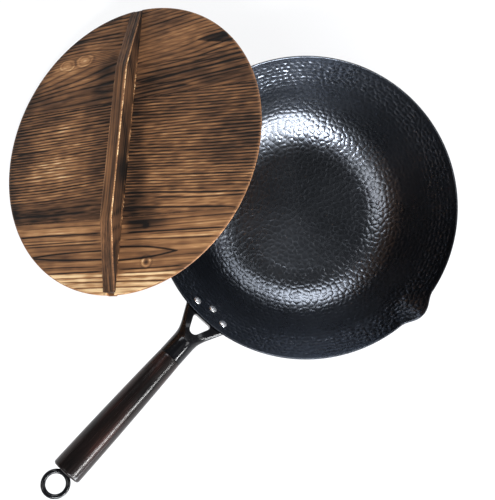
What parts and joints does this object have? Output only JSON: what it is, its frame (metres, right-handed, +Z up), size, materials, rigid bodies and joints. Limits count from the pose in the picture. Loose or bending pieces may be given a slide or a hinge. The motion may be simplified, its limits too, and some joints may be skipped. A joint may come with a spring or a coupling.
{
  "type": "wok with lid",
  "caption": "Round-sided carbon steel wok with pour spouts, a riveted wood grip and a hanging ring, its charred wood lid leaning on the rim.",
  "frame": {"origin": "centre of the flat underside of the bowl, on the table", "axes": "+Z up, the handle along -Y, the pour spouts at +X and -X"},
  "size_m": [0.4893, 0.5345, 0.1612],
  "materials": {
    "blued_steel": "satin",
    "black_enamel": "gloss",
    "rivet_steel": "satin",
    "dark_wood": "satin",
    "charred_wood": "matt"
  },
  "bodies": {
    "wok": {"bowl": "blued_steel", "handle_bracket": "black_enamel", "handle_rivets": "rivet_steel", "tie_nut": "rivet_steel"},
    "grip": {"grip": "dark_wood"},
    "eye_bolt": {"eye_bolt": "black_enamel"},
    "lid": {"lid_board_1": "charred_wood", "lid_board_2": "charred_wood", "lid_board_3": "charred_wood", "lid_board_4": "charred_wood", "lid_batten": "charred_wood", "lid_dowels": "charred_wood"}
  },
  "joints": [
    {"name": "lid_lift", "type": "slide", "parent": "wok", "child": "lid", "axis": [0, 0, 1], "range_m": [0, 0.16]},
    {"name": "grip_draw", "type": "slide", "parent": "wok", "child": "grip", "axis": [0, -0.9511, 0.309], "range_m": [0, 0.18]},
    {"name": "eye_turn", "type": "hinge", "parent": "grip", "child": "eye_bolt", "pos_m": [0, -0.15875, 0.085], "axis": [0, -0.9511, 0.309], "continuous": true}
  ]
}
